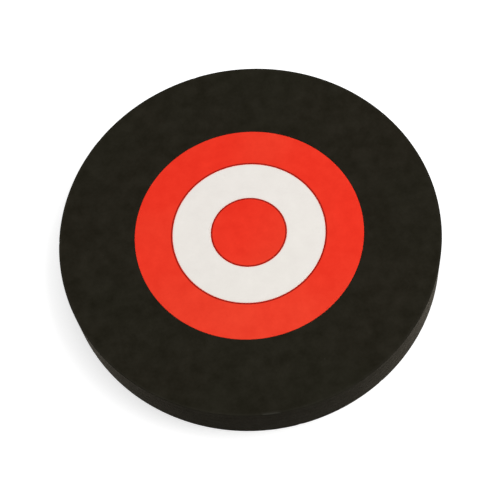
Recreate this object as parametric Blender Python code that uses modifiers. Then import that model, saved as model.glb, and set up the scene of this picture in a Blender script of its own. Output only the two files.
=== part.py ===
"""A round foam archery target, lying on its back with the bullseye up.

The face is one ply of foam: a red disc, a white ring and a red ring are die-cut and let into a
wide black ring, all flush. Plain black plies are bonded behind it and make up the thickness.
Metres, +Z up. The origin is in the middle of the back face, on the surface the target lies on.
"""

import math
from collections import namedtuple

import bpy

# The zones of the face, from the middle outwards
BULLSEYE_DIAMETER = 0.080
WHITE_RING_WIDTH = 0.040
RED_RING_WIDTH = 0.040
BLACK_BORDER_WIDTH = 0.080

# The foam sheets, and the glue lines and die-cut joints between the pieces
FACE_PLY_THICKNESS = 0.010
BACKING_PLY_THICKNESS = 0.010
BACKING_PLY_COUNT = 4
BOND_GAP = 0.0003
INLAY_GAP = 0.0003

# Rounding of the target's own rim, front and back, and of every edge that meets another piece
RIM_RADIUS = 0.0015
CUT_RADIUS = 0.0004

# How finely the turned shapes are divided
TURN_STEPS = 96
ARC_STEP_LENGTH = 0.0004

# Linear colour, roughness and metallic value of each foam
FINISHES = {
    "black_foam": ((0.0176, 0.0156, 0.0107), 0.85, 0.0),
    "red_foam": ((0.859, 0.041, 0.021), 0.75, 0.0),
    "white_foam": ((0.831, 0.791, 0.745), 0.75, 0.0),
}

Corner = namedtuple("Corner", "x z radius")


def clear_scene():
    for obj in list(bpy.data.objects):
        bpy.data.objects.remove(obj, do_unlink=True)


def make_material(name):
    color, roughness, metallic = FINISHES[name]
    material = bpy.data.materials.new(name)
    material.use_nodes = True
    shader = material.node_tree.nodes["Principled BSDF"]
    shader.inputs["Base Color"].default_value = (*color, 1.0)
    shader.inputs["Roughness"].default_value = roughness
    shader.inputs["Metallic"].default_value = metallic
    return material


def direction(start, end):
    run_x = end.x - start.x
    run_z = end.z - start.z
    length = math.hypot(run_x, run_z)
    return run_x / length, run_z / length


def corner_arc(before, corner, after):
    """The quarter circle that rounds a square corner, from the side before it to the side after."""
    back_x, back_z = direction(corner, before)
    on_x, on_z = direction(corner, after)
    centre_x = corner.x + corner.radius * (back_x + on_x)
    centre_z = corner.z + corner.radius * (back_z + on_z)
    steps = max(1, round(corner.radius / ARC_STEP_LENGTH))
    points = []
    for step in range(steps + 1):
        angle = math.pi / 2 * step / steps
        across = corner.radius * math.cos(angle)
        along = corner.radius * math.sin(angle)
        points.append((centre_x - on_x * across - back_x * along,
                       centre_z - on_z * across - back_z * along))
    return points


def rounded_profile(corners):
    """The section's points, with each corner that has a radius rounded. The axis has none."""
    points = []
    for index, corner in enumerate(corners):
        if corner.radius > 0.0:
            before = corners[index - 1]
            after = corners[(index + 1) % len(corners)]
            points += corner_arc(before, corner, after)
        else:
            points.append((corner.x, corner.z))
    return points


def disc_corners(radius, thickness, top_radius=CUT_RADIUS, bottom_radius=CUT_RADIUS):
    """Half a disc's section, from the top of the axis round the outer side to the bottom of it."""
    return [
        Corner(0.0, thickness, 0.0),
        Corner(radius, thickness, top_radius),
        Corner(radius, 0.0, bottom_radius),
        Corner(0.0, 0.0, 0.0),
    ]


def ring_corners(inner_radius, outer_radius, thickness, top_radius=CUT_RADIUS):
    """A ring's section: along the top, down the outer side, back below and up the hole's side."""
    return [
        Corner(inner_radius, thickness, CUT_RADIUS),
        Corner(outer_radius, thickness, top_radius),
        Corner(outer_radius, 0.0, CUT_RADIUS),
        Corner(inner_radius, 0.0, CUT_RADIUS),
    ]


def turned_piece(name, corners, height, material, axis):
    """Turns a section about Z. The piece hangs on the target's axis, its underside this high."""
    points = rounded_profile(corners)
    edges = [(index, index + 1) for index in range(len(points) - 1)]
    if corners[0].x > 0.0:
        edges.append((len(points) - 1, 0))
    mesh = bpy.data.meshes.new(name)
    mesh.from_pydata([(x, 0.0, z) for x, z in points], edges, [])
    mesh.materials.append(material)

    piece = bpy.data.objects.new(name, mesh)
    axis.users_collection[0].objects.link(piece)
    piece.parent = axis
    piece.location.z = height

    turn = piece.modifiers.new("turn", "SCREW")
    turn.axis = "Z"
    turn.angle = math.tau
    turn.steps = TURN_STEPS
    turn.render_steps = TURN_STEPS
    turn.use_merge_vertices = True
    turn.merge_threshold = ARC_STEP_LENGTH / 40  # closes the seam and the poles on the axis
    turn.use_smooth_shade = True
    piece.modifiers.new("flat faces stay flat", "WEIGHTED_NORMAL")
    return piece


def add_backing(radius, material, axis):
    """The plain plies, numbered from the one behind the face to the one at the back."""
    pitch = BACKING_PLY_THICKNESS + BOND_GAP
    for number in range(1, BACKING_PLY_COUNT + 1):
        is_last = number == BACKING_PLY_COUNT
        corners = disc_corners(
            radius,
            BACKING_PLY_THICKNESS,
            bottom_radius=RIM_RADIUS if is_last else CUT_RADIUS,
        )
        height = (BACKING_PLY_COUNT - number) * pitch
        turned_piece(f"backing_ply_{number}", corners, height, material, axis)
    return BACKING_PLY_COUNT * pitch


def main():
    clear_scene()
    parts = bpy.data.collections.new("archery_target")
    bpy.context.scene.collection.children.link(parts)
    axis = bpy.data.objects.new("target_axis", None)
    axis.empty_display_size = BULLSEYE_DIAMETER
    parts.objects.link(axis)

    black_foam = make_material("black_foam")
    red_foam = make_material("red_foam")
    white_foam = make_material("white_foam")

    # Each die-cut joint is shared half and half by the two pieces that meet there
    half_gap = INLAY_GAP / 2
    bullseye_radius = BULLSEYE_DIAMETER / 2
    white_radius = bullseye_radius + WHITE_RING_WIDTH
    red_radius = white_radius + RED_RING_WIDTH
    target_radius = red_radius + BLACK_BORDER_WIDTH

    face_height = add_backing(target_radius, black_foam, axis)
    bullseye = disc_corners(bullseye_radius - half_gap, FACE_PLY_THICKNESS)
    white_ring = ring_corners(
        bullseye_radius + half_gap, white_radius - half_gap, FACE_PLY_THICKNESS
    )
    red_ring = ring_corners(white_radius + half_gap, red_radius - half_gap, FACE_PLY_THICKNESS)
    black_border = ring_corners(
        red_radius + half_gap, target_radius, FACE_PLY_THICKNESS, top_radius=RIM_RADIUS
    )
    turned_piece("bullseye", bullseye, face_height, red_foam, axis)
    turned_piece("white_ring", white_ring, face_height, white_foam, axis)
    turned_piece("red_ring", red_ring, face_height, red_foam, axis)
    turned_piece("black_border", black_border, face_height, black_foam, axis)


main()
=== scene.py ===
"""The finish of a round foam archery target: its foam pieces, glue lines, materials and light.

Every foam piece is one Geometry Nodes tree with its own sizes, read from the CAD nodes: a rounded
section swept round the target's axis, then made slightly uneven, with rubbed spots on the rim.
Metres, +Z up, in the frame of the CAD model, whose origin is under the middle of the target.
"""

import math

import bpy
from mathutils import Matrix, Vector


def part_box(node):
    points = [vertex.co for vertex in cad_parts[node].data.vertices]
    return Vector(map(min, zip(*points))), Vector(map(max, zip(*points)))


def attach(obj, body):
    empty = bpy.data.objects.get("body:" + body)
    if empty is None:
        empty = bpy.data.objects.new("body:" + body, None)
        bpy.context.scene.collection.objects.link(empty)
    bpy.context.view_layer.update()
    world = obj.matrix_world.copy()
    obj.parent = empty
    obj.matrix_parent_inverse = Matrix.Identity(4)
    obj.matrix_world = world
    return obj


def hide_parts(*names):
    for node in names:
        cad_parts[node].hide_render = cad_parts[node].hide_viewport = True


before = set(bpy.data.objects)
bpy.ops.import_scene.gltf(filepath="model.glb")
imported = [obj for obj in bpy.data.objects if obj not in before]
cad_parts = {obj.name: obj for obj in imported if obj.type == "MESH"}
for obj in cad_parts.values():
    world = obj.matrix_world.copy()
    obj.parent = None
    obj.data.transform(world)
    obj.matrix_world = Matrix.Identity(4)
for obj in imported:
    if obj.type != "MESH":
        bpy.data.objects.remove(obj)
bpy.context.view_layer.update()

# The body that every piece rides, and what is read from the CAD nodes
BODY = "root"
TARGET_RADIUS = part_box("black_border")[1].x
STACK_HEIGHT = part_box("black_border")[1].z
BULLSEYE_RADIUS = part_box("bullseye")[1].x
WHITE_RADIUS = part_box("white_ring")[1].x
RED_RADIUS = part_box("red_ring")[1].x
BACKING_PLIES = sorted(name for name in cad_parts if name.startswith("backing_ply_"))

# What is left of a die-cut joint once the foam is pressed together in it
JOINT_GAP = 0.00006

# Edges of the foam pieces
RIM_ROUNDING = 0.0008
CUT_ROUNDING = 0.0002
INLAY_ROUNDING = 0.0004
WHITE_ROUNDING = 0.0002

# How far the foam strays from the true shape, always inwards, and over what distance
FACE_UNEVENNESS = 0.0004
RIM_UNEVENNESS = 0.0003
UNEVENNESS_SIZE = 0.07

# Divisions of the swept shapes, and how close two points have to be to become one
TURN_STEPS = 480
BORDER_TURN_STEPS = 720
ARC_POINTS = 5
FACE_ROW = 0.005
BORDER_FACE_ROW = 0.0025
HIDDEN_FACE_ROW = 0.02
WALL_ROW = 0.002
MERGE_DISTANCE = 0.00001

# How strongly each rim is rubbed at its spots, and how much of that is left between them
FRONT_WEAR = 1.0
BACK_WEAR = 0.8
WEAR_BETWEEN_SPOTS = 0.06

# The noise levels at which a rubbed spot begins and is fully rubbed
SPOT_START = 0.76
SPOT_FULL = 0.81

# Puts one of the rubbed spots where the photograph shows a bright dash on the rim nearest the
# camera, as a painted glint
FRONT_RUB_AND_GLINT_SEED = 109.8

# How much paler the whole rim is painted, as painted light over the shade of its rounding, and the
# crumbs that break up the edge of a rubbed spot
RIM_PAINTED_LIGHT = 0.2
CRUMB_SIZE = 0.0011
CRUMB_START = 0.45
CRUMB_FULL = 0.85

# Glue lines between the plies, set back from the wall
GLUE_CLEARANCE = 0.00003
GLUE_SETBACK = 0.0002
GLUE_RAGGEDNESS = 0.0006
GLUE_ROUNDING = 0.00004

# The tone of each sheet of foam: nearer its dark colour at 0, and nearer its light one at 1
MIDDLE_TONE = 0.5
BULLSEYE_TONE = 0.46
RED_RING_TONE = 0.54
BACKING_TONES = (0.44, 0.55, 0.48, 0.53)

# Starts the slow painted glare, a drift of hue, where it runs as in the photograph: most orange at
# the near left
GLARE_START = (5.2, 0.0, 0.0)

# How fully the cut wall and the dust cover the foam's skin, and how strongly painted shade darkens
# the open pores
CUT_COVER = 0.8
PORE_PAINTED_SHADE = 0.6
DUST_COVER = 0.5

# Where the skin turns into the cut wall: 0 on a level face, 1 on an upright one
CUT_START = 0.45
CUT_FULL = 0.95

# The marks that the cutter leaves on a wall: the heights of a groove, and the painted shade that
# darkens its bottom
GROOVE_BOTTOM = 0.35
GROOVE_TOP = 0.65
GROOVE_PAINTED_SHADE = (0.62, 0.62, 0.62, 1.0)

# Heights of the foam's cells, of the cutter's marks and of the blisters in the glue
CELL_HEIGHT = 0.00008
KNIFE_MARK_HEIGHT = 0.00015
BLISTER_HEIGHT = 0.0001

# Roughness of the foam's skin at a dark and at a light shade, and what a cut adds to it
DARK_SHADE = 0.2
LIGHT_SHADE = 0.8
DARK_SKIN_ROUGHNESS = 0.82
LIGHT_SKIN_ROUGHNESS = 0.74
CUT_ROUGHNESS = 0.05

# The foam's weak reflection, and the faint glow of its soft skin at a grazing angle
FOAM_SPECULAR = 0.01
SHEEN_WEIGHT = 0.20
SHEEN_ROUGHNESS = 0.22
SHEEN_TINT = (1.0, 0.89, 0.72, 1.0)

# The photographed view: a long lens, looking down steeply, turned a little in its own plane
SENSOR_WIDTH = 36.0
CAMERA_LENS = 97.9
CAMERA_ELEVATION = math.radians(65.0)
CAMERA_ROLL = math.radians(-9.4)
CAMERA_DISTANCE = 1.417
FACE_RIGHT_OF_AXIS = -0.0013
FACE_ABOVE_AXIS = 0.0189

# The even light from all round, and the lamps: name, place, size and power in watts
AMBIENT_LEVEL = 0.24
LAMPS = (
    ("top_lamp", (0.0, 0.0, 2.9), 2.5, 34.5),
    ("right_lamp", (2.48, 0.13, 2.94), 2.7, 93.0),
)

# The floor, and the lift that makes it look white: less near the target, where its shadow falls
FLOOR_SIZE = 16.0
FLOOR_COLOR = (0.80, 0.80, 0.80, 1.0)
NEAR_FLOOR_RADIUS = 0.5
FAR_FLOOR_RADIUS = 2.5
NEAR_FLOOR_LIFT = 0.55
FAR_FLOOR_LIFT = 1.0


class Graph:
    """Builds a node tree line by line: a node's type, what feeds its sockets and its settings."""

    column_width = 190

    def __init__(self, tree):
        self.tree = tree

    def node(self, kind, feeds=None, **settings):
        node = self.tree.nodes.new(kind)
        node.location.x = len(self.tree.nodes) * self.column_width
        for name, value in settings.items():
            setattr(node, name, value)
        for socket, value in (feeds or {}).items():
            self.feed(node.inputs[socket], value)
        return node

    def feed(self, socket, value):
        """Links another node's output to the socket, or sets the socket to a plain value."""
        if isinstance(value, bpy.types.NodeSocket):
            self.tree.links.new(value, socket)
        else:
            socket.default_value = value

    def math(self, operation, *values, clamp=False):
        feeds = dict(enumerate(values))
        return self.node("ShaderNodeMath", feeds, operation=operation, use_clamp=clamp).outputs[0]

    def vector(self, operation, *values):
        feeds = dict(enumerate(values))
        node = self.node("ShaderNodeVectorMath", feeds, operation=operation)
        return node.outputs["Value" if operation in ("LENGTH", "DISTANCE") else "Vector"]

    def scaled(self, vector, factor):
        feeds = {"Vector": vector, "Scale": factor}
        return self.node("ShaderNodeVectorMath", feeds, operation="SCALE").outputs["Vector"]

    def combine(self, x=0.0, y=0.0, z=0.0):
        return self.node("ShaderNodeCombineXYZ", {"X": x, "Y": y, "Z": z}).outputs["Vector"]

    def separate(self, vector):
        return self.node("ShaderNodeSeparateXYZ", {"Vector": vector}).outputs

    def frequency(self, size):
        """The scale at which a pattern's features have about this size."""
        return self.math("DIVIDE", 1.0, size)

    def ramp(self, value, low, high, to_low=0.0, to_high=1.0):
        """Eases from one value to the other as `value` goes from low to high."""
        feeds = {"Value": value, "From Min": low, "From Max": high,
                 "To Min": to_low, "To Max": to_high}
        return self.node("ShaderNodeMapRange", feeds, interpolation_type="SMOOTHSTEP").outputs[0]

    def noise(self, vector, scale, detail=2.0, roughness=0.5):
        feeds = {"Vector": vector, "Scale": scale, "Detail": detail, "Roughness": roughness}
        return self.node("ShaderNodeTexNoise", feeds).outputs[0]

    def voronoi(self, vector, scale):
        return self.node("ShaderNodeTexVoronoi", {"Vector": vector, "Scale": scale}).outputs

    def mix_color(self, factor, color, other, blend="MIX"):
        """Mixes two colours. The node has its sockets once for each type, and one set enabled."""
        node = self.node("ShaderNodeMix", data_type="RGBA", blend_type=blend)
        factor_socket, color_socket, other_socket = (
            next(s for s in node.inputs if s.enabled and s.name == name)
            for name in ("Factor", "A", "B")
        )
        self.feed(factor_socket, factor)
        self.feed(color_socket, color)
        self.feed(other_socket, other)
        return next(s for s in node.outputs if s.enabled)


def new_group(name, kind, inputs, outputs):
    """A node group. An input is (name, socket type, default), and an output (name, type)."""
    tree = bpy.data.node_groups.new(name, kind)
    for socket_name, socket_type, default in inputs:
        socket = tree.interface.new_socket(
            socket_name, in_out="INPUT", socket_type=f"NodeSocket{socket_type}"
        )
        if default is not None:
            socket.default_value = default
    for socket_name, socket_type in outputs:
        tree.interface.new_socket(
            socket_name, in_out="OUTPUT", socket_type=f"NodeSocket{socket_type}"
        )
    graph = Graph(tree)
    return graph, graph.node("NodeGroupInput").outputs


# Geometry


def foam_section(graph, size):
    """The piece's section as a curve: X is out from its wall, Y is down from its underside.

    A ring's section is closed. A disc's is open at the axis, where it has no edge to round.
    """
    hole = graph.math("SUBTRACT", size["Hole Radius"], size["Outer Radius"])
    front = graph.math("MULTIPLY", size["Thickness"], -1.0)
    corners = {
        "Point 1": graph.combine(hole, front),
        "Point 2": graph.combine(0.0, front),
        "Point 3": graph.combine(0.0, 0.0),
        "Point 4": graph.combine(hole, 0.0),
    }
    square = graph.node("GeometryNodeCurvePrimitiveQuadrilateral", mode="POINTS")
    for name, corner in corners.items():
        graph.feed(square.inputs[name], corner)
    is_ring = graph.node(
        "FunctionNodeCompare", {"A": size["Hole Radius"], "B": 0.0}, operation="GREATER_THAN"
    ).outputs[0]
    section = graph.node(
        "GeometryNodeSetSplineCyclic", {"Geometry": square.outputs[0], "Cyclic": is_ring}
    ).outputs[0]

    # Each corner takes its own rounding, by its place in the curve
    radii = ("Hole Rounding", "Front Rounding", "Back Rounding", "Hole Rounding")
    rounding = graph.node("GeometryNodeIndexSwitch", data_type="FLOAT")
    while len(rounding.index_switch_items) < len(radii):
        rounding.index_switch_items.new()
    graph.feed(rounding.inputs["Index"], graph.node("GeometryNodeInputIndex").outputs[0])
    for index, name in enumerate(radii):
        graph.feed(rounding.inputs[str(index)], size[name])
    fillet = graph.node("GeometryNodeFilletCurve", {"Curve": section}, mode="POLY")
    graph.feed(fillet.inputs["Radius"], rounding.outputs[0])
    graph.feed(fillet.inputs["Count"], size["Arc Points"])
    return divided_section(graph, size, fillet.outputs[0])


def divided_section(graph, size, section):
    """Divides the long straight sides: finely up the wall, and as wanted across the faces."""
    position = graph.node("GeometryNodeInputPosition").outputs[0]
    index = graph.node("GeometryNodeInputIndex").outputs[0]
    count = graph.node(
        "GeometryNodeAttributeDomainSize", {"Geometry": section}, component="CURVE"
    ).outputs[0]
    after = graph.math("MODULO", graph.math("ADD", index, 1.0), count)
    next_position = graph.node(
        "GeometryNodeFieldAtIndex", {"Index": after}, data_type="FLOAT_VECTOR", domain="POINT"
    )
    graph.feed(next_position.inputs["Value"], position)
    step = graph.vector("ABSOLUTE", graph.vector("SUBTRACT", next_position.outputs[0], position))
    across, up, _ = graph.separate(step)
    rows = graph.math(
        "ADD",
        graph.math("DIVIDE", up, size["Wall Row"]),
        graph.math("DIVIDE", across, size["Face Row"]),
    )
    cuts = graph.math("FLOOR", rows)
    return graph.node("GeometryNodeSubdivideCurve", {"Curve": section, "Cuts": cuts}).outputs[0]


def swept_section(graph, size):
    """The section swept round the target's axis, closed at its seam and lifted to its height."""
    path = graph.node(
        "GeometryNodeCurvePrimitiveCircle",
        {"Resolution": size["Turn Steps"], "Radius": size["Outer Radius"]},
    ).outputs[0]
    swept = graph.node(
        "GeometryNodeCurveToMesh", {"Curve": path, "Profile Curve": foam_section(graph, size)}
    ).outputs[0]
    closed = graph.node(
        "GeometryNodeMergeByDistance", {"Geometry": swept, "Distance": MERGE_DISTANCE}
    ).outputs[0]
    return graph.node(
        "GeometryNodeSetPosition",
        {"Geometry": closed, "Offset": graph.combine(0.0, 0.0, size["Underside"])},
    ).outputs[0]


def rubbed_rim_and_light(graph, size, position):
    """Where the target's own rim is rubbed: in short spots along its front and back edges. The
    material paints light with it too: the whole rim paler, and a glint at one spot.
    """
    x, y, z = graph.separate(position)
    here = graph.combine(graph.vector("LENGTH", graph.combine(x, y)), z)
    front_height = graph.math("ADD", size["Underside"], size["Thickness"])
    rims = []
    for height, amount in ((front_height, "Front Wear"), (size["Underside"], "Back Wear")):
        edge = graph.combine(size["Outer Radius"], height)
        distance = graph.vector("DISTANCE", here, edge)
        near = graph.ramp(distance, size["Wear Core"], size["Wear Width"], 1.0, 0.0)
        rims.append(graph.math("MULTIPLY", near, size[amount]))
    shifted = graph.vector("ADD", position, graph.combine(size["Wear Seed"]))
    patches = graph.noise(shifted, graph.frequency(size["Wear Length"]), detail=0.0)
    spots = graph.ramp(patches, SPOT_START, SPOT_FULL, WEAR_BETWEEN_SPOTS, 1.0)
    return graph.math("MULTIPLY", graph.math("MAXIMUM", *rims), spots)


def marked_foam(graph, foam, marks):
    """Keeps these values on the foam's points, where its material reads them."""
    for name, value in marks.items():
        foam = graph.node(
            "GeometryNodeStoreNamedAttribute",
            {"Geometry": foam, "Name": name, "Value": value},
            data_type="FLOAT",
            domain="POINT",
        ).outputs[0]
    return foam


def uneven_shift(graph, size, position):
    """The whole stack strays together, so that no joint opens: down by height, in by radius."""
    x, y, z = graph.separate(position)
    frequency = graph.frequency(size["Unevenness Size"])
    sag = graph.math("MULTIPLY", graph.noise(position, frequency), size["Face Unevenness"])
    sag = graph.math("MULTIPLY", sag, graph.math("DIVIDE", z, -STACK_HEIGHT))
    elsewhere = graph.vector("ADD", position, (1.0, 1.0, 1.0))
    pinch = graph.math("MULTIPLY", graph.noise(elsewhere, frequency), size["Rim Unevenness"])
    inwards = graph.scaled(graph.combine(x, y), graph.math("DIVIDE", pinch, -TARGET_RADIUS))
    return graph.vector("ADD", inwards, graph.combine(0.0, 0.0, sag))


def turned_foam_tree():
    """A foam disc or ring, swept round the target's axis and made slightly uneven."""
    graph, size = new_group(
        "turned_foam",
        "GeometryNodeTree",
        (
            ("Hole Radius", "Float", 0.0),
            ("Outer Radius", "Float", TARGET_RADIUS),
            ("Underside", "Float", 0.0),
            ("Thickness", "Float", 0.01),
            ("Front Rounding", "Float", CUT_ROUNDING),
            ("Back Rounding", "Float", CUT_ROUNDING),
            ("Hole Rounding", "Float", 0.0),
            ("Turn Steps", "Int", TURN_STEPS),
            ("Arc Points", "Int", ARC_POINTS),
            ("Face Row", "Float", HIDDEN_FACE_ROW),
            ("Wall Row", "Float", WALL_ROW),
            ("Front Wear", "Float", 0.0),
            ("Back Wear", "Float", 0.0),
            ("Wear Core", "Float", 0.0005),
            ("Wear Width", "Float", 0.0030),
            ("Wear Length", "Float", 0.016),
            ("Wear Depth", "Float", 0.0003),
            ("Wear Seed", "Float", 0.0),
            ("Rim Unevenness", "Float", RIM_UNEVENNESS),
            ("Face Unevenness", "Float", FACE_UNEVENNESS),
            ("Unevenness Size", "Float", UNEVENNESS_SIZE),
            ("Tone", "Float", MIDDLE_TONE),
            ("Foam", "Material", None),
        ),
        (("Geometry", "Geometry"),),
    )
    foam = swept_section(graph, size)
    position = graph.node("GeometryNodeInputPosition").outputs[0]
    normal = graph.node("GeometryNodeInputNormal").outputs["Normal"]
    rub_and_light = rubbed_rim_and_light(graph, size, position)
    upright = graph.math("ABSOLUTE", graph.separate(normal)[2])
    cut_side = graph.math("SUBTRACT", 1.0, upright)
    marks = {"cut_side": cut_side, "rubbed_rim_and_light": rub_and_light, "tone": size["Tone"]}
    foam = marked_foam(graph, foam, marks)

    dent = graph.scaled(normal, graph.math("MULTIPLY", rub_and_light, size["Wear Depth"]))
    shift = graph.vector("SUBTRACT", uneven_shift(graph, size, position), dent)
    foam = graph.node("GeometryNodeSetPosition", {"Geometry": foam, "Offset": shift}).outputs[0]
    foam = graph.node("GeometryNodeSetShadeSmooth", {"Geometry": foam}).outputs[0]
    foam = graph.node("GeometryNodeRealizeInstances", {"Geometry": foam}).outputs[0]
    foam = graph.node(
        "GeometryNodeSetMaterial", {"Geometry": foam, "Material": size["Foam"]}
    ).outputs[0]
    graph.node("NodeGroupOutput", {"Geometry": foam})
    return graph.tree


def grown_piece(name, tree, values):
    """The tree's result with these input values, as a plain mesh object."""
    identifiers = {
        item.name: item.identifier
        for item in tree.interface.items_tree
        if item.item_type == "SOCKET" and item.in_out == "INPUT"
    }
    piece = bpy.data.objects.new(name, bpy.data.meshes.new(name))
    bpy.context.scene.collection.objects.link(piece)
    modifier = piece.modifiers.new("turned foam", "NODES")
    modifier.node_group = tree
    for socket_name, value in values.items():
        modifier[identifiers[socket_name]] = value
    piece.modifiers.new("flat faces stay flat", "WEIGHTED_NORMAL")
    depsgraph = bpy.context.evaluated_depsgraph_get()
    mesh = bpy.data.meshes.new_from_object(
        piece.evaluated_get(depsgraph), preserve_all_data_layers=True, depsgraph=depsgraph
    )
    piece.modifiers.clear()
    piece.data = mesh
    mesh.name = name
    return piece


# Materials


def soft_mottling_group():
    """Cloudy patches as a shade from 0 to 1 about one half, and a slow drift of painted glare
    across the sheet.
    """
    graph, given = new_group(
        "soft_mottling",
        "ShaderNodeTree",
        (
            ("Vector", "Vector", None),
            ("Patch Size", "Float", 0.014),
            ("Contrast", "Float", 1.0),
            ("Glare Size", "Float", 0.12),
            ("Glare Start", "Vector", GLARE_START),
        ),
        (("Shade", "Float"), ("Painted Glare", "Float")),
    )
    broad_share = 0.7
    fine_share = 0.3
    fine_per_broad = 5.0
    frequency = graph.frequency(given["Patch Size"])
    fine_frequency = graph.math("MULTIPLY", frequency, fine_per_broad)
    broad = graph.math("MULTIPLY", graph.noise(given["Vector"], frequency), broad_share)
    fine = graph.math("MULTIPLY", graph.noise(given["Vector"], fine_frequency), fine_share)
    both = graph.math("ADD", broad, fine)
    centred = graph.math("MULTIPLY", graph.math("SUBTRACT", both, 0.5), given["Contrast"])
    shade = graph.math("ADD", centred, 0.5, clamp=True)
    started = graph.vector("ADD", given["Vector"], given["Glare Start"])
    slow = graph.noise(started, graph.frequency(given["Glare Size"]), detail=1.0)
    painted_glare = graph.ramp(slow, 0.3, 0.7)
    graph.node("NodeGroupOutput", {"Shade": shade, "Painted Glare": painted_glare})
    return graph.tree


def closed_cells_group():
    """Foam cells as small domes with valleys between them, open pores and a few larger pits.

    A pore's radius and its floor's are shares of the pores' spacing. The largest pit's radius is a
    share of the pits' spacing, and its floor's is a share of the pit's.
    """
    graph, given = new_group(
        "closed_cells",
        "ShaderNodeTree",
        (
            ("Vector", "Vector", None),
            ("Cell Size", "Float", 0.0005),
            ("Pore Spacing", "Float", 0.006),
            ("Pore Radius", "Float", 0.07),
            ("Pore Floor", "Float", 0.03),
            ("Pit Spacing", "Float", 0.05),
            ("Pit Radius", "Float", 0.035),
            ("Pit Floor", "Float", 0.3),
        ),
        (("Height", "Float"), ("Pores", "Float")),
    )
    grain_per_cell = 0.35
    dome_share = 0.5
    grain_share = 0.5
    cell_frequency = graph.frequency(given["Cell Size"])
    grain_frequency = graph.math("MULTIPLY", cell_frequency, grain_per_cell)
    domes = graph.voronoi(given["Vector"], cell_frequency)["Distance"]
    domes = graph.ramp(domes, 0.1, 0.9, 1.0, 0.0)
    grain = graph.noise(given["Vector"], grain_frequency, detail=3.0)
    grain = graph.math("MULTIPLY", grain, grain_share)
    height = graph.math("MULTIPLY_ADD", domes, dome_share, grain)

    pores = graph.voronoi(given["Vector"], graph.frequency(given["Pore Spacing"]))["Distance"]
    pores = graph.ramp(pores, given["Pore Floor"], given["Pore Radius"], 1.0, 0.0)
    pits = graph.voronoi(given["Vector"], graph.frequency(given["Pit Spacing"]))
    pit_radius = graph.math("MULTIPLY", graph.separate(pits["Color"])[0], given["Pit Radius"])
    pit_floor = graph.math("MULTIPLY", pit_radius, given["Pit Floor"])
    pits = graph.ramp(pits["Distance"], pit_floor, pit_radius, 1.0, 0.0)
    pores = graph.math("MAXIMUM", pores, pits)
    height = graph.math("SUBTRACT", height, pores)
    graph.node("NodeGroupOutput", {"Height": height, "Pores": pores})
    return graph.tree


def knife_marks_group():
    """Upright marks that the cutter leaves on a sheet's edge."""
    graph, given = new_group(
        "knife_marks",
        "ShaderNodeTree",
        (
            ("Vector", "Vector", None),
            ("Mark Width", "Float", 0.0011),
            ("Mark Length", "Float", 0.012),
        ),
        (("Height", "Float"),),
    )
    x, y, z = graph.separate(given["Vector"])
    across = graph.scaled(graph.combine(x, y), graph.frequency(given["Mark Width"]))
    along = graph.combine(0.0, 0.0, graph.math("DIVIDE", z, given["Mark Length"]))
    marks = graph.noise(graph.vector("ADD", across, along), 1.0, roughness=0.6)
    graph.node("NodeGroupOutput", {"Height": marks})
    return graph.tree


def dust_group():
    """Sparse lint and dust, gathered in faint clouds.

    The largest speck's radius is a share of the specks' spacing.
    """
    graph, given = new_group(
        "dust",
        "ShaderNodeTree",
        (
            ("Vector", "Vector", None),
            ("Speck Spacing", "Float", 0.009),
            ("Speck Radius", "Float", 0.035),
            ("Cloud Size", "Float", 0.06),
        ),
        (("Mask", "Float"),),
    )
    specks = graph.voronoi(given["Vector"], graph.frequency(given["Speck Spacing"]))
    radius = graph.math("MULTIPLY", graph.separate(specks["Color"])[0], given["Speck Radius"])
    inside = graph.math("LESS_THAN", specks["Distance"], radius)
    clouds = graph.noise(given["Vector"], graph.frequency(given["Cloud Size"]))
    clouds = graph.ramp(clouds, 0.45, 0.75)
    graph.node("NodeGroupOutput", {"Mask": graph.math("MULTIPLY", inside, clouds)})
    return graph.tree


def ground_dust_group():
    """Painted light bounced from the floor: an uneven pale veil that thickens towards the ground.
    """
    graph, given = new_group(
        "floor_bounce_light",
        "ShaderNodeTree",
        (
            ("Vector", "Vector", None),
            ("Height", "Float", 0.045),
            ("Cloud Size", "Float", 0.02),
        ),
        (("Mask", "Float"),),
    )
    height = graph.separate(given["Vector"])[2]
    low = graph.ramp(height, 0.0, given["Height"], 1.0, 0.0)
    clouds = graph.noise(given["Vector"], graph.frequency(given["Cloud Size"]), detail=3.0)
    clouds = graph.ramp(clouds, 0.3, 0.7, 0.6, 1.0)
    graph.node("NodeGroupOutput", {"Mask": graph.math("MULTIPLY", low, clouds)})
    return graph.tree


def joint_stain_group():
    """Painted shade: a ragged dark line on both sides of the white ring's joints, where the narrow
    joints' shade falls.
    """
    graph, given = new_group(
        "painted_joint_shade",
        "ShaderNodeTree",
        (
            ("Vector", "Vector", None),
            ("Inner Radius", "Float", BULLSEYE_RADIUS),
            ("Outer Radius", "Float", WHITE_RADIUS),
            ("Joint Width", "Float", JOINT_GAP),
            ("Reach", "Float", 0.00105),
            ("Spread", "Float", 0.0012),
            ("Ragged Frequency", "Float", 150.0),
        ),
        (("Mask", "Float"),),
    )
    least_reach = 0.7
    reach_range = 0.6
    x, y, _ = graph.separate(given["Vector"])
    radius = graph.vector("LENGTH", graph.combine(x, y))
    half_joint = graph.math("MULTIPLY", given["Joint Width"], 0.5)
    distances = []
    for name in ("Inner Radius", "Outer Radius"):
        middle = graph.math("ADD", given[name], half_joint)
        distances.append(graph.math("ABSOLUTE", graph.math("SUBTRACT", radius, middle)))
    nearest = graph.math("MINIMUM", *distances)
    ragged = graph.noise(given["Vector"], given["Ragged Frequency"])
    ragged = graph.math("MULTIPLY_ADD", ragged, reach_range, least_reach)
    reach = graph.math("MULTIPLY", given["Reach"], ragged)
    from_line = graph.math("ABSOLUTE", graph.math("SUBTRACT", nearest, reach))
    mask = graph.ramp(from_line, 0.0, given["Spread"], 1.0, 0.0)
    graph.node("NodeGroupOutput", {"Mask": mask})
    return graph.tree


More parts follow.
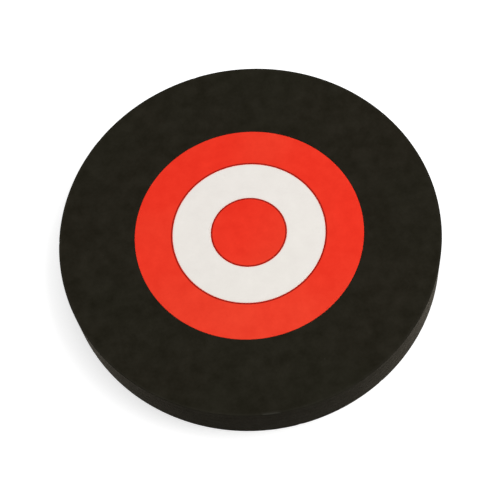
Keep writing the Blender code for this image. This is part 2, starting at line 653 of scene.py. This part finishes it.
GROUPS = {
    "joints": joint_stain_group(),
    "mottling": soft_mottling_group(),
    "cells": closed_cells_group(),
    "knife": knife_marks_group(),
    "dust": dust_group(),
    "floor_bounce_light": ground_dust_group(),
}


def new_material(name):
    """A material with an empty tree, and the graph that fills it."""
    material = bpy.data.materials.new(name)
    material.use_nodes = True
    material.node_tree.nodes.clear()
    return material, Graph(material.node_tree)


def placed_group(graph, group, feeds):
    """One of the shared groups placed in a material's tree, with what feeds its inputs."""
    node = graph.node("ShaderNodeGroup", node_tree=GROUPS[group])
    for socket, value in feeds.items():
        graph.feed(node.inputs[socket], value)
    return node.outputs


def foam_patterns(graph, place, mottling):
    """What the foam's colour, roughness and bumps are worked out from."""
    clouds = placed_group(graph, "mottling", {"Vector": place, "Contrast": mottling})
    cells = placed_group(graph, "cells", {"Vector": place})
    cut_side, rub_and_light, tone = (
        graph.node("ShaderNodeAttribute", attribute_name=name).outputs["Fac"]
        for name in ("cut_side", "rubbed_rim_and_light", "tone")
    )
    return {
        "shade": clouds["Shade"],
        "painted_glare": clouds["Painted Glare"],
        "cells": cells["Height"],
        "pores": cells["Pores"],
        "marks": placed_group(graph, "knife", {"Vector": place})["Height"],
        "dust": placed_group(graph, "dust", {"Vector": place})["Mask"],
        "wall": graph.ramp(cut_side, CUT_START, CUT_FULL),
        "rub_and_light": rub_and_light,
        "tone": tone,
    }


def sheet_color(graph, patterns, paints):
    """The mottled skin with its painted glare, the cut wall with painted shade in its knife marks,
    and painted shade in the open pores.
    """
    from_middle = graph.math("SUBTRACT", patterns["tone"], MIDDLE_TONE)
    shade = graph.math("ADD", patterns["shade"], from_middle, clamp=True)
    color = graph.mix_color(shade, paints["dark"], paints["light"])
    # Painted glare: a slow drift of hue over the sheet, strongest on the red
    color = graph.mix_color(patterns["painted_glare"], color, paints["glare_tint"], blend="MULTIPLY")
    wall = graph.math("MULTIPLY", patterns["wall"], CUT_COVER)
    color = graph.mix_color(wall, color, paints["cut"])
    # Painted shade at the bottom of the knife marks
    groove_shade = graph.ramp(patterns["marks"], GROOVE_BOTTOM, GROOVE_TOP, 1.0, 0.0)
    groove_shade = graph.math("MULTIPLY", groove_shade, patterns["wall"])
    color = graph.mix_color(groove_shade, color, GROOVE_PAINTED_SHADE, blend="MULTIPLY")
    # Painted shade in the open pores, towards the foam's dark colour
    pores = graph.math("MULTIPLY", patterns["pores"], PORE_PAINTED_SHADE)
    return graph.mix_color(pores, color, paints["dark"])


def rubbed_color(graph, place, patterns, color, worn_and_lit_paint):
    """Painted light: the whole rim a little paler, over the shade of its rounding. Then the rubbed
    spots on it with crumbled edges, one of them a painted glint.
    """
    # Painted light lifts the shade of the whole rim
    painted_rim_light = graph.ramp(patterns["rub_and_light"], 0.0, WEAR_BETWEEN_SPOTS, 0.0, RIM_PAINTED_LIGHT)
    color = graph.mix_color(painted_rim_light, color, worn_and_lit_paint)
    crumbs = graph.noise(place, 1.0 / CRUMB_SIZE, detail=3.0)
    scuffed = graph.math("ADD", patterns["rub_and_light"], graph.math("SUBTRACT", crumbs, 0.5))
    return graph.mix_color(graph.ramp(scuffed, CRUMB_START, CRUMB_FULL), color, worn_and_lit_paint)


def soiled_color(graph, place, patterns, color, paints, floor_bounce_light):
    """Dust over all; a pale veil towards the ground, painted light from the floor; and painted
    shade in a line beside the joints.
    """
    dust = graph.math("MULTIPLY", patterns["dust"], DUST_COVER)
    color = graph.mix_color(dust, color, paints["dust"])
    if floor_bounce_light:
        # Painted light from the floor: the wall lightens towards the ground, in the dust's colour
        lower_wall_light = placed_group(graph, "floor_bounce_light", {"Vector": place})["Mask"]
        lower_wall_light = graph.math("MULTIPLY", lower_wall_light, patterns["wall"])
        color = graph.mix_color(graph.math("MULTIPLY", lower_wall_light, floor_bounce_light), color, paints["dust"])
    # Painted shade: a dark line beside the white ring's joints
    if "joint_shade_paint" in paints:
        joints = placed_group(graph, "joints", {"Vector": place})["Mask"]
        color = graph.mix_color(joints, color, paints["joint_shade_paint"])
    return color


def foam_normal(graph, patterns):
    """The bumps of the foam's cells, with the cutter's marks on its wall."""
    cells = graph.node("ShaderNodeBump", {"Distance": CELL_HEIGHT, "Height": patterns["cells"]})
    marks = graph.node(
        "ShaderNodeBump",
        {
            "Distance": KNIFE_MARK_HEIGHT,
            "Height": graph.math("MULTIPLY", patterns["marks"], patterns["wall"]),
            "Normal": cells.outputs["Normal"],
        },
    )
    return marks.outputs["Normal"]


def foam_material(name, paints, mottling, floor_bounce_light=0.0):
    """Closed-cell foam: a skinned face, a cut wall, pores, dust and rubbed spots on the rim, with
    painted light and shade.
    """
    material, graph = new_material(name)
    place = graph.node("ShaderNodeTexCoord").outputs["Object"]
    patterns = foam_patterns(graph, place, mottling)
    color = sheet_color(graph, patterns, paints)
    color = rubbed_color(graph, place, patterns, color, paints["worn_and_lit_paint"])
    color = soiled_color(graph, place, patterns, color, paints, floor_bounce_light)
    roughness = graph.ramp(
        patterns["shade"], DARK_SHADE, LIGHT_SHADE, DARK_SKIN_ROUGHNESS, LIGHT_SKIN_ROUGHNESS
    )
    roughness = graph.math("MULTIPLY_ADD", patterns["wall"], CUT_ROUGHNESS, roughness)
    shader = graph.node(
        "ShaderNodeBsdfPrincipled",
        {
            "Base Color": color,
            "Roughness": roughness,
            "Normal": foam_normal(graph, patterns),
            "Specular IOR Level": FOAM_SPECULAR,
            "Sheen Weight": SHEEN_WEIGHT,
            "Sheen Roughness": SHEEN_ROUGHNESS,
            "Sheen Tint": SHEEN_TINT,
        },
    )
    graph.node("ShaderNodeOutputMaterial", {"Surface": shader.outputs["BSDF"]})
    return material


def glue_material():
    """Dried contact adhesive: dark and dull with dust, with small blisters."""
    material, graph = new_material("dried_glue")
    place = graph.node("ShaderNodeTexCoord").outputs["Object"]
    mottled = placed_group(graph, "mottling", {"Vector": place, "Patch Size": 0.004})["Shade"]
    dark = (0.007, 0.006, 0.004, 1.0)
    light = (0.018, 0.015, 0.010, 1.0)
    color = graph.mix_color(mottled, dark, light)
    roughness = graph.ramp(mottled, 0.3, 0.7, 0.5, 0.7)
    blisters = graph.node("ShaderNodeBump", {"Distance": BLISTER_HEIGHT, "Height": mottled})
    shader = graph.node(
        "ShaderNodeBsdfPrincipled",
        {
            "Base Color": color,
            "Roughness": roughness,
            "Normal": blisters.outputs["Normal"],
            "Specular IOR Level": 0.05,
        },
    )
    graph.node("ShaderNodeOutputMaterial", {"Surface": shader.outputs["BSDF"]})
    return material


def black_foam():
    paints = {
        "dark": (0.0116, 0.0101, 0.0062, 1.0),
        "light": (0.0216, 0.0190, 0.0132, 1.0),
        "glare_tint": (0.97, 1.02, 1.00, 1.0),
        "cut": (0.0117, 0.0097, 0.0053, 1.0),
        "worn_and_lit_paint": (0.034, 0.032, 0.025, 1.0),
        "dust": (0.10, 0.095, 0.085, 1.0),
    }
    # The lower wall is lightened with painted light from the floor
    return foam_material("black_foam", paints, mottling=2.0, floor_bounce_light=0.06)


def red_foam():
    paints = {
        "dark": (0.790, 0.0280, 0.0135, 1.0),
        "light": (0.890, 0.0410, 0.0200, 1.0),
        # Painted glare lifts the red's green and blue
        "glare_tint": (1.0, 1.50, 1.45, 1.0),
        "cut": (0.780, 0.036, 0.017, 1.0),
        "worn_and_lit_paint": (0.90, 0.12, 0.08, 1.0),
        "dust": (0.85, 0.20, 0.15, 1.0),
        # Painted shade beside the white ring's joints
        "joint_shade_paint": (0.250, 0.009, 0.005, 1.0),
    }
    return foam_material("red_foam", paints, mottling=1.7)


def white_foam():
    paints = {
        "dark": (0.790, 0.750, 0.708, 1.0),
        "light": (0.872, 0.834, 0.788, 1.0),
        "glare_tint": (0.995, 1.0, 0.99, 1.0),
        "cut": (0.800, 0.760, 0.715, 1.0),
        "worn_and_lit_paint": (0.85, 0.82, 0.78, 1.0),
        "dust": (0.60, 0.56, 0.50, 1.0),
        # Painted shade beside the white ring's joints
        "joint_shade_paint": (0.830, 0.745, 0.690, 1.0),
    }
    return foam_material("white_foam", paints, mottling=1.2)


FOAMS = {"black_foam": black_foam(), "red_foam": red_foam(), "white_foam": white_foam()}


# The pieces


def add_foam(node, tree, foam, values):
    """Replaces a CAD node by a foam piece of the same place and size."""
    low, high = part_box(node)
    sizes = {
        "Outer Radius": high.x,
        "Underside": low.z,
        "Thickness": high.z - low.z,
        "Foam": FOAMS[foam],
    }
    piece = grown_piece(f"{node}_foam", tree, {**sizes, **values})
    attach(piece, BODY)
    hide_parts(node)


def add_inlays(tree):
    """The three coloured pieces let into the face, each with its hole round the next one in."""
    bullseye = {
        "Front Rounding": INLAY_ROUNDING,
        "Face Row": FACE_ROW,
        "Tone": BULLSEYE_TONE,
    }
    add_foam("bullseye", tree, "red_foam", bullseye)
    rings = (
        ("white_ring", "white_foam", BULLSEYE_RADIUS, WHITE_ROUNDING, MIDDLE_TONE),
        ("red_ring", "red_foam", WHITE_RADIUS, INLAY_ROUNDING, RED_RING_TONE),
    )
    for node, foam, inner_radius, rounding, tone in rings:
        ring = {
            "Hole Radius": inner_radius + JOINT_GAP,
            "Hole Rounding": rounding,
            "Front Rounding": rounding,
            "Face Row": FACE_ROW,
            "Tone": tone,
        }
        add_foam(node, tree, foam, ring)


def add_border(tree):
    """The wide black ring round the inlays, finely divided for the rubbed spots on its rim."""
    border = {
        "Hole Radius": RED_RADIUS + JOINT_GAP,
        "Hole Rounding": INLAY_ROUNDING,
        "Front Rounding": RIM_ROUNDING,
        "Face Row": BORDER_FACE_ROW,
        "Turn Steps": BORDER_TURN_STEPS,
        "Front Wear": FRONT_WEAR,
        "Wear Seed": FRONT_RUB_AND_GLINT_SEED,
    }
    add_foam("black_border", tree, "black_foam", border)


def add_backing(tree):
    """The plain plies, cut from different sheets, so each has a slightly different black."""
    for index, node in enumerate(BACKING_PLIES):
        is_last = node == BACKING_PLIES[-1]
        ply = {
            "Tone": BACKING_TONES[index % len(BACKING_TONES)],
            "Back Rounding": RIM_ROUNDING if is_last else CUT_ROUNDING,
            "Back Wear": BACK_WEAR if is_last else 0.0,
            "Face Row": FACE_ROW if is_last else HIDDEN_FACE_ROW,
            "Wear Seed": float(index + 1),
        }
        add_foam(node, tree, "black_foam", ply)


def add_glue_lines(tree):
    """A thin ragged film fills each gap between two plies, a little way in from the wall."""
    glue = glue_material()
    undersides = [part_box(node)[0].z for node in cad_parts]
    for number, node in enumerate(BACKING_PLIES, start=1):
        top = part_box(node)[1].z
        gap = min(underside for underside in undersides if underside > top) - top
        film = {
            "Outer Radius": TARGET_RADIUS - GLUE_SETBACK,
            "Underside": top + GLUE_CLEARANCE,
            "Thickness": gap - 2 * GLUE_CLEARANCE,
            "Front Rounding": GLUE_ROUNDING,
            "Back Rounding": GLUE_ROUNDING,
            "Rim Unevenness": GLUE_RAGGEDNESS,
            "Foam": glue,
        }
        line = grown_piece(f"glue_line_{number}", tree, film)
        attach(line, BODY)


def add_object():
    tree = turned_foam_tree()
    add_inlays(tree)
    add_border(tree)
    add_backing(tree)
    add_glue_lines(tree)


# The studio


def seen_directly(graph):
    """1 on the rays from the camera and on those that a glossy or clear surface passes on."""
    paths = graph.node("ShaderNodeLightPath").outputs
    mirrored = graph.math("MAXIMUM", paths["Is Glossy Ray"], paths["Is Transmission Ray"])
    return graph.math("MAXIMUM", paths["Is Camera Ray"], mirrored)


def add_floor():
    """A pale floor that takes the target's shadow and looks white."""
    bpy.ops.mesh.primitive_plane_add(size=FLOOR_SIZE)
    floor = bpy.context.object
    floor.name = "studio_floor"
    material, graph = new_material("studio_floor")
    paint = graph.node("ShaderNodeBsdfDiffuse", {"Color": FLOOR_COLOR})
    place = graph.node("ShaderNodeTexCoord").outputs["Object"]
    distance = graph.vector("LENGTH", place)
    lift = graph.ramp(
        distance, NEAR_FLOOR_RADIUS, FAR_FLOOR_RADIUS, NEAR_FLOOR_LIFT, FAR_FLOOR_LIFT
    )
    strength = graph.math("MULTIPLY", seen_directly(graph), lift)
    glow = graph.node("ShaderNodeEmission", {"Strength": strength})
    both = graph.node(
        "ShaderNodeAddShader", {0: paint.outputs["BSDF"], 1: glow.outputs["Emission"]}
    )
    graph.node("ShaderNodeOutputMaterial", {"Surface": both.outputs["Shader"]})
    floor.data.materials.append(material)


def add_world():
    """Light from all round, and plain white where the camera sees past the floor."""
    world = bpy.data.worlds.new("studio")
    bpy.context.scene.world = world
    world.use_nodes = True
    world.node_tree.nodes.clear()
    graph = Graph(world.node_tree)
    strength = graph.ramp(seen_directly(graph), 0.0, 1.0, AMBIENT_LEVEL, 1.0)
    background = graph.node(
        "ShaderNodeBackground", {"Color": (1.0, 1.0, 1.0, 1.0), "Strength": strength}
    )
    graph.node("ShaderNodeOutputWorld", {"Surface": background.outputs["Background"]})


def add_lamp(name, place, size, power):
    """A square soft lamp that faces the middle of the target."""
    light = bpy.data.lights.new(name, "AREA")
    light.shape = "SQUARE"
    light.size = size
    light.energy = power
    lamp = bpy.data.objects.new(name, light)
    bpy.context.scene.collection.objects.link(lamp)
    place = Vector(place)
    aim = (Vector((0.0, 0.0, STACK_HEIGHT)) - place).to_track_quat("-Z", "Y")
    lamp.matrix_world = Matrix.Translation(place) @ aim.to_matrix().to_4x4()


def add_camera():
    """Stands where the photograph was taken, so that the face lies where it does in the picture."""
    forward = Vector((0.0, math.cos(CAMERA_ELEVATION), -math.sin(CAMERA_ELEVATION)))
    level_up = Vector((0.0, math.sin(CAMERA_ELEVATION), math.cos(CAMERA_ELEVATION)))
    level_right = Vector((1.0, 0.0, 0.0))
    right = level_right * math.cos(CAMERA_ROLL) + level_up * math.sin(CAMERA_ROLL)
    up = right.cross(forward)
    place = (
        Vector((0.0, 0.0, STACK_HEIGHT))
        - right * FACE_RIGHT_OF_AXIS
        - up * FACE_ABOVE_AXIS
        - forward * CAMERA_DISTANCE
    )
    lens = bpy.data.cameras.new("camera")
    lens.sensor_width = SENSOR_WIDTH
    lens.lens = CAMERA_LENS
    camera = bpy.data.objects.new("camera", lens)
    bpy.context.scene.collection.objects.link(camera)
    turn = Matrix((right, up, -forward)).transposed()
    camera.matrix_world = Matrix.Translation(place) @ turn.to_4x4()
    bpy.context.scene.camera = camera


def add_studio():
    add_floor()
    add_world()
    for name, place, size, power in LAMPS:
        add_lamp(name, place, size, power)
    add_camera()
    bpy.context.scene.view_settings.view_transform = "Standard"


add_object()
add_studio()
